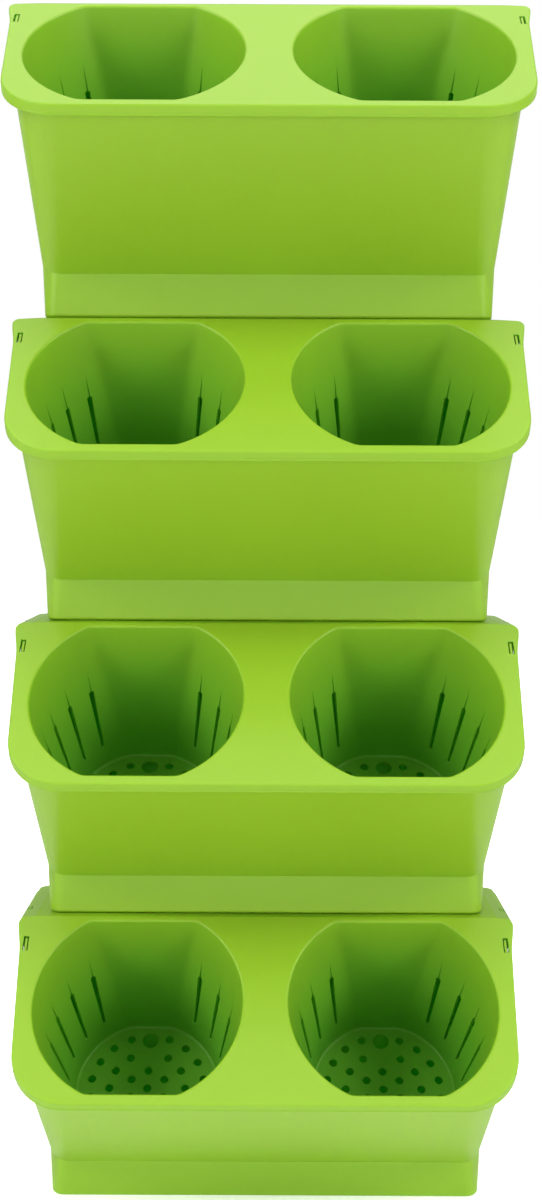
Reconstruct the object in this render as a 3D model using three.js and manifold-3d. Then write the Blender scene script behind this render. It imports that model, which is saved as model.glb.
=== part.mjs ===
// Vertical planter tower: four identical tiers stacked on one another against a wall.
// A tier is a water trough, a planting tray with two slotted baskets that closes it,
// and an overflow tube that stands in the trough and drains it into the tier below.
// Millimetres, X to the right, Y to the wall, Z up, origin under the middle of the tower.
// Each tier is drawn round its own fold, the edge where the level ledge meets the sloping deck.

import * as THREE from 'three';
import { mergeVertices } from 'three/addons/utils/BufferGeometryUtils.js';
import Module from 'manifold-3d';

const wasm = await Module();
wasm.setup();

// Whole tower
const TIER_COUNT = 4;
const TIER_PITCH = 190.5;
const WALL = 2;
const SEAT_GAP = 0.3;
const FIT_GAP = 0.5;
const CUT_OVERRUN = 5;
const JOIN_DEPTH = 0.6;

// Planting tray: a level ledge behind the fold and a sloping deck in front of it
const DECK_ANGLE = THREE.MathUtils.degToRad(43.25);
const DECK_LENGTH = 127;
const DECK_WIDTH_AT_FRONT = 302.3;
const DECK_SPLAY = 6.75;
const DECK_CORNER_RADIUS = 34;
const LEDGE_OVERHANG = 1.6;
const LEDGE_DEPTH = 71;
const LEDGE_CORNER_RADIUS = 10;
const LEDGE_SKIRT_REACH = 10;
const FOLD_RADIUS = 5;
const LIP_DEPTH = 6.6;
const TRAY_EDGE_CHAMFER = 1.8;

// Baskets
const OPENING_GAP = 28;
const OPENING_SIDE_MARGIN = 7.15;
const OPENING_REAR_MARGIN = 5.5;
const OPENING_FRONT_MARGIN = 9;
const REAR_FLAT_SHARE = 0.857;
const BASKET_TILT = THREE.MathUtils.degToRad(5.3);
const BASKET_DEPTH = 105;
const BASKET_TAPER = 17.5;

// Slots in the basket walls and holes in the basket floors. Each slot gets narrower towards the
// floor, and a pointed groove in the inside of the wall runs up from its top.
const SLOT_FIRST_ANGLE = THREE.MathUtils.degToRad(36);
const SLOT_STEP_ANGLE = THREE.MathUtils.degToRad(18);
const SLOTS_PER_SIDE = 4;
const SLOT_BELOW_MOUTH = 34;
const SLOT_ABOVE_FLOOR = 18;
const SLOT_TOP_WIDTH = 3.4;
const SLOT_BOTTOM_WIDTH = 1.8;
const HOLE_DIAMETER = 5.6;
const HOLE_RINGS = 3;
const HOLES_ADDED_PER_RING = 6;
const HOLES_FROM_WALL = 9.4;
const WICK_HOLE_DIAMETER = 11;
const WICK_HOLE_FROM_WALL = 12.3;

// Trough. At its rim the tray reaches beyond it, further down it gets narrower, and towards the
// wall it gets wider again.
const RIM_OVERHANG_AT_FRONT = 8.65;
const RIM_OVERHANG_AT_FOLD = 3.9;
const CREASE_NARROWING = 0.8;
const CREASE_SPLAY = 2.3;
const BOTTOM_NARROWING = 0.9;
const BOTTOM_SPLAY = 1.7;
const TOP_CORNER_RADIUS = 24;
const CREASE_CORNER_RADIUS = 16;
const BOTTOM_CORNER_RADIUS = 13;
const WALL_CORNER_RADIUS = 6;
const BOTTOM_EDGE_CHAMFER = 1.5;
const BAND_HEIGHT = 26;
const CREASE_REACH = 2.5;
const BAND_SETBACK = 4.5;

// Latch tongues of the trough and the slots in the tray that they show through
const DECK_LATCH_FROM_SIDE = 5.1;
const DECK_LATCH_START = 16;
const DECK_LATCH_LENGTH = 9.6;
const DECK_LATCH_WIDTH = 3;
const LEDGE_LATCH_FROM_SIDE = 4;
const LEDGE_LATCH_FROM_FOLD = 18;
const LEDGE_LATCH_LENGTH = 5;
const LEDGE_LATCH_WIDTH = 3.2;
const LEDGE_LATCH_PLAY = 0.9;
const LEDGE_TONGUE_HEIGHT = 1;

// Screw holes high in the back wall
const SCREW_HOLE_SPACING = 200;
const SCREW_HOLE_BELOW_LEDGE = 26;
const SCREW_HOLE_DIAMETER = 5;

// Overflow tube, its socket in the trough and the inlet in the ledge above it
const TUBE_DIAMETER = 13;
const TUBE_BORE = 9;
const TUBE_HEIGHT = 36;
const TUBE_FROM_FOLD = 36;
const TUBE_COLLAR_DIAMETER = 16;
const TUBE_COLLAR_HEIGHT = 3;
const SOCKET_DEPTH = 8;
const SOCKET_FLOOR = 1.2;
const INLET_DIAMETER = 18;

// Facets
const CONE_SIDES = 20;
const HOLE_SIDES = 5;
const ROUND_SIDES = 12;
const CORNER_STEPS = 4;
const WALL_CORNER_STEPS = 2;

// Worked out
const deckHalfAtFront = DECK_WIDTH_AT_FRONT / 2;
const deckHalfAtFold = deckHalfAtFront + DECK_SPLAY;
const ledgeHalf = deckHalfAtFold + LEDGE_OVERHANG;
const deckLatchOffset = deckHalfAtFold - DECK_LATCH_FROM_SIDE;
const ledgeLatchOffset = ledgeHalf - LEDGE_LATCH_FROM_SIDE;
const openingRadius = (deckHalfAtFront - OPENING_SIDE_MARGIN - OPENING_GAP / 2) / 2;
const openingOffset = openingRadius + OPENING_GAP / 2;
const rearFlat = REAR_FLAT_SHARE * openingRadius;
const frontFlat = DECK_LENGTH - OPENING_FRONT_MARGIN - OPENING_REAR_MARGIN - rearFlat;
const openingCentre = OPENING_REAR_MARGIN + rearFlat;
const floorRadius = openingRadius - BASKET_TAPER;
const coneSlope = BASKET_TAPER / BASKET_DEPTH;
const slotBottom = BASKET_DEPTH - SLOT_ABOVE_FLOOR;
const holeRingStep = (floorRadius - HOLES_FROM_WALL) / HOLE_RINGS;
const wickHoleRadius = floorRadius - WICK_HOLE_FROM_WALL;
const rimHalfAtFront = deckHalfAtFront - RIM_OVERHANG_AT_FRONT;
const rimHalfAtFold = deckHalfAtFold - RIM_OVERHANG_AT_FOLD;
const creaseHalf = rimHalfAtFront - CREASE_NARROWING;
const bottomHalf = creaseHalf - BOTTOM_NARROWING;
const troughFront = DECK_LENGTH - WALL - FIT_GAP;
const troughBottom = SEAT_GAP - TIER_PITCH;
const deckReach = DECK_LENGTH * Math.cos(DECK_ANGLE) - TRAY_EDGE_CHAMFER * Math.sin(DECK_ANGLE);
const foldFromMiddle = (deckReach - LEDGE_DEPTH) / 2;

const plastic = { color: 0x8cc63f, roughness: 0.38, metalness: 0 };
const darkPlastic = { color: 0x6fa52e, roughness: 0.45, metalness: 0 };

// Solids

function solid(geometry) {
  const bare = new THREE.BufferGeometry();
  bare.setAttribute('position', geometry.getAttribute('position'));
  bare.setIndex(geometry.getIndex());
  const merged = mergeVertices(bare);
  return new wasm.Manifold(new wasm.Mesh({
    numProp: 3,
    vertProperties: new Float32Array(merged.getAttribute('position').array),
    triVerts: new Uint32Array(merged.getIndex().array),
  }));
}

function joined(solids) {
  return solids.reduce((whole, next) => whole.add(next));
}

function sheet(manifold) {
  const mesh = manifold.getMesh();
  const geometry = new THREE.BufferGeometry();
  geometry.setAttribute('position', new THREE.BufferAttribute(new Float32Array(mesh.vertProperties), 3));
  geometry.setIndex(new THREE.BufferAttribute(new Uint32Array(mesh.triVerts), 1));
  const faceted = geometry.toNonIndexed();
  faceted.computeVertexNormals();
  return faceted;
}

// Outline with rounded corners, from corners given as [x, y, radius]
function roundedShape(corners) {
  const shape = new THREE.Shape();
  corners.forEach(([x, y, radius], index) => {
    const here = new THREE.Vector2(x, y);
    const before = new THREE.Vector2(...corners.at(index - 1));
    const after = new THREE.Vector2(...corners[(index + 1) % corners.length]);
    const back = before.sub(here).normalize();
    const ahead = after.sub(here).normalize();
    if (!radius) {
      if (index) shape.lineTo(x, y);
      else shape.moveTo(x, y);
      return;
    }
    const halfAngle = Math.acos(back.dot(ahead)) / 2;
    const start = here.clone().addScaledVector(back, radius / Math.tan(halfAngle));
    const end = here.clone().addScaledVector(ahead, radius / Math.tan(halfAngle));
    const inward = back.clone().add(ahead).normalize();
    const centre = here.clone().addScaledVector(inward, radius / Math.sin(halfAngle));
    if (index) shape.lineTo(start.x, start.y);
    else shape.moveTo(start.x, start.y);
    const from = start.sub(centre).angle();
    const to = end.sub(centre).angle();
    shape.absarc(centre.x, centre.y, radius, from, to, back.cross(ahead) > 0);
  });
  return shape;
}

// Upright prism of an outline, between two heights, with its edges chamfered
function prism(shape, bottom, top, chamfer, steps = CORNER_STEPS) {
  const geometry = new THREE.ExtrudeGeometry(shape, {
    depth: top - bottom - 2 * chamfer,
    bevelEnabled: chamfer > 0,
    bevelThickness: chamfer,
    bevelSize: chamfer,
    bevelOffset: -chamfer,
    bevelSegments: 1,
    curveSegments: steps,
  });
  return solid(geometry.translate(0, 0, bottom + chamfer));
}

// Prism of a side profile, given as (y, z) points, reaching equally far to both sides
function acrossPrism(profile, half) {
  const geometry = new THREE.ExtrudeGeometry(new THREE.Shape(profile), {
    depth: 2 * half,
    bevelEnabled: false,
  });
  const sideways = new THREE.Matrix4().makeBasis(
    new THREE.Vector3(0, 1, 0),
    new THREE.Vector3(0, 0, 1),
    new THREE.Vector3(1, 0, 0),
  );
  return solid(geometry.applyMatrix4(sideways).translate(-half, 0, 0));
}

// Upright round solid from [radius, height] pairs, with the middle of a facet to the front
function turned(profile, sides = CONE_SIDES) {
  const points = profile.map(([radius, height]) => new THREE.Vector2(radius, height));
  return solid(new THREE.LatheGeometry(points, sides, Math.PI / sides).rotateX(Math.PI / 2));
}

function block(width, depth, height, x, y, z) {
  return solid(new THREE.BoxGeometry(width, depth, height).translate(x, y, z));
}

function onDeck(manifold) {
  return manifold.rotate([THREE.MathUtils.radToDeg(DECK_ANGLE), 0, 0]);
}

function mirrored(manifold) {
  return manifold.add(manifold.mirror([1, 0, 0]));
}

// Point of the side profile, from its distance down the deck and its height over the deck
function deckPoint(along, over) {
  return new THREE.Vector2(
    -along * Math.cos(DECK_ANGLE) - over * Math.sin(DECK_ANGLE),
    -along * Math.sin(DECK_ANGLE) + over * Math.cos(DECK_ANGLE),
  );
}

// Point where ledge and deck meet once both are lowered
function foldPoint(lowered) {
  return new THREE.Vector2(lowered * Math.tan(DECK_ANGLE / 2), -lowered);
}

// Everything lower than the tray's top face and the planes that carry it on, all let down
// by a depth, with the edge between ledge and deck rounded if it is given a radius
function below(depth, foldRadius = 0) {
  const back = LEDGE_DEPTH + CUT_OVERRUN;
  const front = deckPoint(2 * DECK_LENGTH, -depth);
  const fold = foldPoint(depth);
  const tangent = foldRadius * Math.tan(DECK_ANGLE / 2);
  const profile = [new THREE.Vector2(back, -depth)];
  for (let step = 0; foldRadius && step <= WALL_CORNER_STEPS; step += 1) {
    const turn = (DECK_ANGLE * step) / WALL_CORNER_STEPS;
    profile.push(new THREE.Vector2(
      fold.x + tangent - foldRadius * Math.sin(turn),
      fold.y - foldRadius * (1 - Math.cos(turn)),
    ));
  }
  if (!foldRadius) profile.push(fold);
  profile.push(front);
  profile.push(new THREE.Vector2(front.x, -2 * TIER_PITCH), new THREE.Vector2(back, -2 * TIER_PITCH));
  return acrossPrism(profile.reverse(), ledgeHalf + CUT_OVERRUN);
}

// Layer between two of those depths
function layer(upper, lower, foldRadius) {
  return below(upper, foldRadius).subtract(below(lower));
}

// Everything inside the tray's outline drawn in by an inset. With a chamfer it ends at the
// tray's top face, and without one it goes on above it.
function footprint(inset, chamfer = 0) {
  const drop = LIP_DEPTH + CUT_OVERRUN;
  const top = chamfer ? 0 : CUT_OVERRUN;
  const taper = DECK_SPLAY / DECK_LENGTH;
  const front = DECK_LENGTH - inset;
  const rear = -LIP_DEPTH;
  const halfAt = (along) => deckHalfAtFold - taper * along - inset;
  const deck = roundedShape([
    [halfAt(rear), -rear, 0],
    [-halfAt(rear), -rear, 0],
    [-halfAt(front), -front, DECK_CORNER_RADIUS - inset],
    [halfAt(front), -front, DECK_CORNER_RADIUS - inset],
  ]);
  const half = ledgeHalf - inset;
  const corner = LEDGE_CORNER_RADIUS - inset;
  const reach = LEDGE_SKIRT_REACH - inset;
  const ledge = roundedShape([
    [half, LEDGE_DEPTH, corner],
    [-half, LEDGE_DEPTH, corner],
    [-half, 0, 0],
    [-half + LEDGE_OVERHANG, -reach, 0],
    [half - LEDGE_OVERHANG, -reach, 0],
    [half, 0, 0],
  ]);
  const ledgeDrop = LEDGE_SKIRT_REACH * Math.tan(DECK_ANGLE) + drop;
  const deckPrism = onDeck(prism(deck, -drop, top, chamfer));
  return deckPrism.add(prism(ledge, -ledgeDrop, top, chamfer, WALL_CORNER_STEPS));
}

// Planting tray

function basketBody(grow, above) {
  const bottom = -BASKET_DEPTH - grow;
  const radiusAt = (height) => openingRadius + coneSlope * height + grow;
  const cone = turned([
    [0, bottom],
    [radiusAt(bottom), bottom],
    [radiusAt(above), above],
    [0, above],
  ]);
  const rear = rearFlat + grow;
  const front = frontFlat + grow;
  const lean = Math.tan(BASKET_TILT + frontWallLean());
  const flats = acrossPrism([
    new THREE.Vector2(rear, above),
    new THREE.Vector2(-front - lean * above, above),
    new THREE.Vector2(-front - lean * bottom, bottom),
    new THREE.Vector2(rear, bottom),
  ], openingRadius + CUT_OVERRUN);
  return cone.intersect(flats);
}

// The cutters' outer faces stand upright while the wall leans in. So they come through the wall
// at the slot's top, and leave its inside where the groove ends.
function slotCutters() {
  const grooveTop = SLOT_BELOW_MOUTH - WALL / coneSlope;
  const shape = new THREE.Shape([
    new THREE.Vector2(-SLOT_BOTTOM_WIDTH / 2, -slotBottom),
    new THREE.Vector2(SLOT_BOTTOM_WIDTH / 2, -slotBottom),
    new THREE.Vector2(SLOT_TOP_WIDTH / 2, -SLOT_BELOW_MOUTH),
    new THREE.Vector2(0, -grooveTop),
    new THREE.Vector2(-SLOT_TOP_WIDTH / 2, -SLOT_BELOW_MOUTH),
  ]);
  const facetMiddleShare = Math.cos(Math.PI / CONE_SIDES);
  const ribReach = (openingRadius - coneSlope * SLOT_BELOW_MOUTH + WALL) * facetMiddleShare;
  const geometry = new THREE.ExtrudeGeometry(shape, { depth: BASKET_TAPER, bevelEnabled: false });
  geometry.rotateX(Math.PI / 2);
  geometry.translate(0, ribReach, 0);
  const cutter = solid(geometry);
  const cutters = [];
  for (let index = 0; index < SLOTS_PER_SIDE; index += 1) {
    const turn = THREE.MathUtils.radToDeg(SLOT_FIRST_ANGLE + index * SLOT_STEP_ANGLE);
    cutters.push(cutter.rotate([0, 0, turn]), cutter.rotate([0, 0, -turn]));
  }
  return joined(cutters);
}

function floorCutters() {
  const length = WALL + 2 * CUT_OVERRUN;
  const level = -BASKET_DEPTH - WALL / 2;
  const flatAtFloor = frontFlat - Math.tan(BASKET_TILT + frontWallLean()) * BASKET_DEPTH;
  const holeAt = (radius, turn, diameter, sides) => {
    const cylinder = new THREE.CylinderGeometry(diameter / 2, diameter / 2, length, sides);
    cylinder.rotateX(Math.PI / 2);
    cylinder.translate(radius * Math.sin(turn), radius * Math.cos(turn), level);
    return solid(cylinder);
  };
  const cutters = [holeAt(wickHoleRadius, 0, WICK_HOLE_DIAMETER, ROUND_SIDES / 2)];
  cutters.push(holeAt(0, 0, HOLE_DIAMETER, HOLE_SIDES));
  for (let ring = 1; ring <= HOLE_RINGS; ring += 1) {
    const count = ring * HOLES_ADDED_PER_RING;
    const radius = ring * holeRingStep;
    for (let index = 0; index < count; index += 1) {
      const turn = (2 * Math.PI * index) / count;
      const clearOfWick = index > 0 || radius + WICK_HOLE_DIAMETER < wickHoleRadius;
      const clearOfFront = -radius * Math.cos(turn) + HOLE_DIAMETER < flatAtFloor;
      if (clearOfWick && clearOfFront) cutters.push(holeAt(radius, turn, HOLE_DIAMETER, HOLE_SIDES));
    }
  }
  return joined(cutters);
}

// Angle between the trough's front wall and a line square to the deck
function frontWallLean() {
  const wall = frontWallDirection();
  return Math.atan2(wall.x, -wall.y) - DECK_ANGLE;
}

function placedBasket(basket) {
  const tilt = THREE.MathUtils.radToDeg(BASKET_TILT);
  const seated = basket.rotate([-tilt, 0, 0]).translate([openingOffset, -openingCentre, 0]);
  return onDeck(seated);
}

function plantingTray() {
  const skirtEnd = LEDGE_DEPTH - LEDGE_CORNER_RADIUS;
  const outer = footprint(0, TRAY_EDGE_CHAMFER).intersect(layer(0, LIP_DEPTH, FOLD_RADIUS));
  const pocket = footprint(WALL).intersect(layer(WALL, LIP_DEPTH + CUT_OVERRUN));
  const rearPocket = block(
    2 * ledgeHalf + CUT_OVERRUN,
    2 * LEDGE_CORNER_RADIUS,
    LIP_DEPTH + CUT_OVERRUN,
    0,
    skirtEnd + LEDGE_CORNER_RADIUS,
    -WALL - (LIP_DEPTH + CUT_OVERRUN) / 2,
  );
  const shell = outer.subtract(pocket).subtract(rearPocket);
  const underDeck = below(WALL / 2);
  const basket = mirrored(placedBasket(basketBody(WALL, CUT_OVERRUN))).intersect(underDeck);
  const hollow = mirrored(placedBasket(basketBody(0, CUT_OVERRUN + LIP_DEPTH)));
  const openings = mirrored(placedBasket(slotCutters().add(floorCutters())));
  const deckSlot = block(
    DECK_LATCH_WIDTH,
    DECK_LATCH_LENGTH,
    LIP_DEPTH,
    deckLatchOffset,
    -DECK_LATCH_START - DECK_LATCH_LENGTH / 2,
    0,
  );
  const ledgeSlot = block(
    LEDGE_LATCH_WIDTH,
    LEDGE_LATCH_LENGTH,
    LIP_DEPTH,
    ledgeLatchOffset,
    LEDGE_LATCH_FROM_FOLD,
    0,
  );
  const inlet = turned([
    [0, -LIP_DEPTH],
    [INLET_DIAMETER / 2, -LIP_DEPTH],
    [INLET_DIAMETER / 2, LIP_DEPTH],
    [0, LIP_DEPTH],
  ], ROUND_SIDES).translate([0, TUBE_FROM_FOLD, 0]);
  return shell
    .add(basket)
    .subtract(hollow)
    .subtract(openings)
    .subtract(mirrored(onDeck(deckSlot)))
    .subtract(mirrored(ledgeSlot))
    .subtract(inlet);
}

// Trough

// Direction of the front wall, down and back from the rim to the crease, in the side profile
function frontWallDirection() {
  return creasePoint().sub(deckPoint(troughFront, 0)).normalize();
}

function creasePoint() {
  return new THREE.Vector2(-CREASE_REACH, troughBottom + BAND_HEIGHT);
}

// Ring of points round the trough in a plane that runs back from the front wall.
// rise is the plane's direction in the side profile, and spread the length along it
// that one unit of depth behind the front wall takes.
function section({ front, rise, spread, back, halfFront, halfBack, corner, wallCorner }) {
  const length = (back - front.x) / rise.x;
  const right = [];
  const push = (along, narrowing) => {
    const half = THREE.MathUtils.lerp(halfFront, halfBack, along / length) - narrowing;
    right.push(new THREE.Vector3(half, front.x + rise.x * along, front.y + rise.y * along));
  };
  for (let step = 0; step <= CORNER_STEPS; step += 1) {
    const turn = (Math.PI / 2) * (step / CORNER_STEPS);
    push(corner * (1 - Math.cos(turn)) * spread, corner * (1 - Math.sin(turn)));
  }
  for (let step = 0; step <= WALL_CORNER_STEPS; step += 1) {
    const turn = (Math.PI / 2) * (step / WALL_CORNER_STEPS);
    push(length - (wallCorner * (1 - Math.sin(turn))) / rise.x, wallCorner * (1 - Math.cos(turn)));
  }
  const left = right.map((point) => new THREE.Vector3(-point.x, point.y, point.z)).reverse();
  return [...right, ...left];
}

// Closed skin over a stack of rings that have the same number of points, the top one first.
// Both halves of a ring are split alike, so the sides stay mirror images.
function loft(rings) {
  const count = rings[0].length;
  const positions = rings.flat().flatMap((point) => point.toArray());
  const faces = [];
  for (let level = 0; level + 1 < rings.length; level += 1) {
    for (let index = 0; index < count; index += 1) {
      const next = (index + 1) % count;
      const upper = level * count;
      const lower = upper + count;
      const corners = [upper + index, lower + index, lower + next, upper + next];
      if (index >= count / 2) corners.push(corners.shift());
      const [first, second, third, fourth] = corners;
      faces.push(first, second, third, first, third, fourth);
    }
  }
  const last = (rings.length - 1) * count;
  for (let index = 1; index + 1 < count; index += 1) {
    faces.push(0, index, index + 1);
    faces.push(last, last + index + 1, last + index);
  }
  const geometry = new THREE.BufferGeometry();
  geometry.setAttribute('position', new THREE.Float32BufferAttribute(positions, 3));
  geometry.setIndex(faces);
  return solid(geometry);
}

// The trough's body drawn in by an inset: none for its outside, the wall for its hollow
function troughBody(inset) {
  const wallDown = frontWallDirection();
  const wallInward = new THREE.Vector2(-wallDown.y, wallDown.x);
  const bandDown = new THREE.Vector2(BAND_SETBACK, -BAND_HEIGHT).normalize();
  const bandInward = new THREE.Vector2(-bandDown.y, bandDown.x);
  const upSlope = deckPoint(-1, 0);
  const mitre = wallInward.clone().add(bandInward).normalize();
  const rimSpread = 1 / upSlope.dot(wallInward);
  const mitreSpread = 1 / mitre.dot(wallInward);
  const rim = deckPoint(troughFront, 0).addScaledVector(upSlope, inset * rimSpread);
  const crease = creasePoint().addScaledVector(mitre, inset * mitreSpread);
  const back = LEDGE_DEPTH - inset;
  const rimTaper = (rimHalfAtFold - rimHalfAtFront) / troughFront;
  const rimLength = (back - rim.x) / upSlope.x;
  const wallCorner = WALL_CORNER_RADIUS - inset;
  const level = (height, shrink) => ({
    front: new THREE.Vector2(crease.x + (crease.y - height) * (BAND_SETBACK / BAND_HEIGHT) + shrink, height),
    rise: new THREE.Vector2(1, 0),
    spread: 1,
    back: back - shrink,
    halfFront: bottomHalf - inset - shrink,
    halfBack: bottomHalf + BOTTOM_SPLAY - inset - shrink,
    corner: BOTTOM_CORNER_RADIUS - inset - shrink,
    wallCorner: Math.max(wallCorner - shrink, WALL / 2),
  });
  const bottom = troughBottom + inset;
  const rings = [
    {
      front: rim,
      rise: upSlope,
      spread: rimSpread,
      back,
      halfFront: rimHalfAtFront - inset,
      halfBack: rimHalfAtFront - inset + rimTaper * rimLength,
      corner: TOP_CORNER_RADIUS - inset,
      wallCorner,
    },
    {
      front: crease,
      rise: mitre,
      spread: mitreSpread,
      back,
      halfFront: creaseHalf - inset,
      halfBack: creaseHalf + CREASE_SPLAY - inset,
      corner: CREASE_CORNER_RADIUS - inset,
      wallCorner,
    },
    level(bottom + BOTTOM_EDGE_CHAMFER, 0),
    level(bottom, BOTTOM_EDGE_CHAMFER),
  ];
  return loft(rings.map(section));
}

function screwHoles() {
  const hole = new THREE.CylinderGeometry(
    SCREW_HOLE_DIAMETER / 2,
    SCREW_HOLE_DIAMETER / 2,
    WALL + 2 * CUT_OVERRUN,
    ROUND_SIDES / 2,
  );
  hole.translate(SCREW_HOLE_SPACING / 2, LEDGE_DEPTH, -SCREW_HOLE_BELOW_LEDGE);
  return mirrored(solid(hole));
}

function trough() {
  const seat = WALL + SEAT_GAP;
  const flange = footprint(WALL + FIT_GAP).intersect(layer(seat, seat + WALL));
  const deckTongueHeight = WALL + JOIN_DEPTH;
  const deckTongue = block(
    DECK_LATCH_WIDTH - 2 * FIT_GAP,
    DECK_LATCH_LENGTH - 2 * FIT_GAP,
    deckTongueHeight,
    deckLatchOffset,
    -DECK_LATCH_START - DECK_LATCH_LENGTH / 2,
    -SEAT_GAP - deckTongueHeight / 2,
  );
  const ledgeTongueHeight = LEDGE_TONGUE_HEIGHT + JOIN_DEPTH;
  const ledgeTongue = block(
    LEDGE_LATCH_WIDTH - 2 * FIT_GAP,
    LEDGE_LATCH_LENGTH - 2 * LEDGE_LATCH_PLAY,
    ledgeTongueHeight,
    ledgeLatchOffset,
    LEDGE_LATCH_FROM_FOLD,
    -seat - JOIN_DEPTH + ledgeTongueHeight / 2,
  );
  const socketRadius = TUBE_DIAMETER / 2 + SEAT_GAP;
  const floorTop = troughBottom + WALL;
  const socket = turned([
    [0, troughBottom + WALL / 2],
    [socketRadius + WALL, troughBottom + WALL / 2],
    [socketRadius + WALL, floorTop + SOCKET_DEPTH],
    [0, floorTop + SOCKET_DEPTH],
  ], ROUND_SIDES);
  const socketBore = turned([
    [0, troughBottom - CUT_OVERRUN],
    [TUBE_BORE / 2, troughBottom - CUT_OVERRUN],
    [TUBE_BORE / 2, troughBottom + SOCKET_FLOOR],
    [socketRadius, troughBottom + SOCKET_FLOOR],
    [socketRadius, floorTop + SOCKET_DEPTH + CUT_OVERRUN],
    [0, floorTop + SOCKET_DEPTH + CUT_OVERRUN],
  ], ROUND_SIDES);
  return troughBody(0)
    .intersect(below(seat))
    .add(flange)
    .subtract(troughBody(WALL))
    .add(mirrored(onDeck(deckTongue)))
    .add(mirrored(ledgeTongue))
    .add(socket.translate([0, TUBE_FROM_FOLD, 0]))
    .subtract(socketBore.translate([0, TUBE_FROM_FOLD, 0]))
    .subtract(screwHoles());
}

// Overflow tube, standing in its socket, with a collar at its mouth
function overflowTube() {
  const foot = troughBottom + SOCKET_FLOOR + SEAT_GAP;
  const mouth = foot + TUBE_HEIGHT;
  const collar = mouth - TUBE_COLLAR_HEIGHT;
  const chamfer = (TUBE_COLLAR_DIAMETER - TUBE_DIAMETER) / 2;
  return turned([
    [TUBE_BORE / 2, foot],
    [TUBE_DIAMETER / 2, foot],
    [TUBE_DIAMETER / 2, collar - chamfer],
    [TUBE_COLLAR_DIAMETER / 2, collar],
    [TUBE_COLLAR_DIAMETER / 2, mouth],
    [TUBE_BORE / 2, mouth],
    [TUBE_BORE / 2, foot],
  ], ROUND_SIDES).translate([0, TUBE_FROM_FOLD, 0]);
}

// Tower, the tiers counted from the bottom

function piece(name, geometry, look) {
  const mesh = new THREE.Mesh(geometry, new THREE.MeshStandardMaterial(look));
  mesh.name = name;
  return mesh;
}

const troughSheet = sheet(trough());
const traySheet = sheet(plantingTray());
const tubeSheet = sheet(overflowTube());

const tower = new THREE.Group();
for (let tier = 1; tier <= TIER_COUNT; tier += 1) {
  const group = new THREE.Group();
  group.position.set(0, foldFromMiddle, tier * TIER_PITCH - SEAT_GAP);
  group.add(piece(`trough_${tier}`, troughSheet, plastic));
  group.add(piece(`planting_tray_${tier}`, traySheet, plastic));
  group.add(piece(`overflow_tube_${tier}`, tubeSheet, darkPlastic));
  tower.add(group);
}

export default tower;
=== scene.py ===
"""Vertical planter tower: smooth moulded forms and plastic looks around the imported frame.

Four equal tiers stand on one another. A tier is a water trough, a planting tray with two
slotted baskets, and an overflow tube. Each is modelled once, round the fold where the tray's
level ledge meets its sloping deck, and placed in every tier. Lengths are in metres, with
X to the right, Y to the wall and Z up. What lies on the deck is drawn level, with the fold
at zero, and then turned down by the deck's angle.
"""

import math

import bpy
from mathutils import Matrix, Vector


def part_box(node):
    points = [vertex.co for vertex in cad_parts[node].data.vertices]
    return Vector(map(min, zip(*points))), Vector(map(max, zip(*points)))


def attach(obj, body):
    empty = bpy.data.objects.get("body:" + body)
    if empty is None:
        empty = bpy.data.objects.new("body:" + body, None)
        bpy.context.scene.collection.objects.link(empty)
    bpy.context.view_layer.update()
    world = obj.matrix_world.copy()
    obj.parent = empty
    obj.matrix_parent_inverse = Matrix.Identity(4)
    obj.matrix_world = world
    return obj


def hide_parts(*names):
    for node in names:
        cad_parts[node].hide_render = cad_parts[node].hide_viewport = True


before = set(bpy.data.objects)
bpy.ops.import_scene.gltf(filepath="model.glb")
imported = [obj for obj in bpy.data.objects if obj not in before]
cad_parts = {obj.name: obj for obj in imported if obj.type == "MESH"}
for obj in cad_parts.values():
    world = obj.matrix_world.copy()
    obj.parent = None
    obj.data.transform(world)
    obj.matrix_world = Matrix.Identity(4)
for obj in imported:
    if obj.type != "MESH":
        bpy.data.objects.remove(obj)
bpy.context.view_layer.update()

MM = 0.001

# Tower. Overrun is how far a cutter reaches past what it cuts, and a hair keeps faces apart.
TIERS = 4
TIER_PITCH = 190.5 * MM
WALL = 2 * MM
SEAT_GAP = 0.3 * MM
FIT_GAP = 0.5 * MM
OVERRUN = 5 * MM
HAIR = 0.01 * MM

# Planting tray. Its shoulders are the ends of the fold, where the ledge's overhang fades out
# along the deck. The top droops a little towards both ends. The lip leans back by its draft
# at the front and has a bead along its lower edge there.
DECK_ANGLE = math.radians(43.25)
DECK_LENGTH = 127 * MM
DECK_WIDTH_AT_FOLD = 315.8 * MM
DECK_WIDTH_AT_FRONT = 302.3 * MM
DECK_CORNER_RADIUS = 34 * MM
LEDGE_WIDTH = 319 * MM
LEDGE_DEPTH = 71 * MM
LEDGE_CORNER_RADIUS = 10 * MM
SHOULDER_START = 5 * MM
SHOULDER_END = 27 * MM
SHOULDER_RADIUS = 4.5 * MM
SHOULDER_DROOP = 1.6 * MM
DROOP_LENGTH = 26 * MM
DROOP_RADIUS = 500 * MM
FOLD_RADIUS = 6 * MM
LIP_DEPTH = 6.6 * MM
TRAY_EDGE_RADIUS = 1.1 * MM
LIP_DRAFT = 1.1 * MM
BEAD_HEIGHT = 1.5 * MM
BEAD_REACH = 0.4 * MM
BEAD_ROUND = 0.3 * MM

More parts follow.
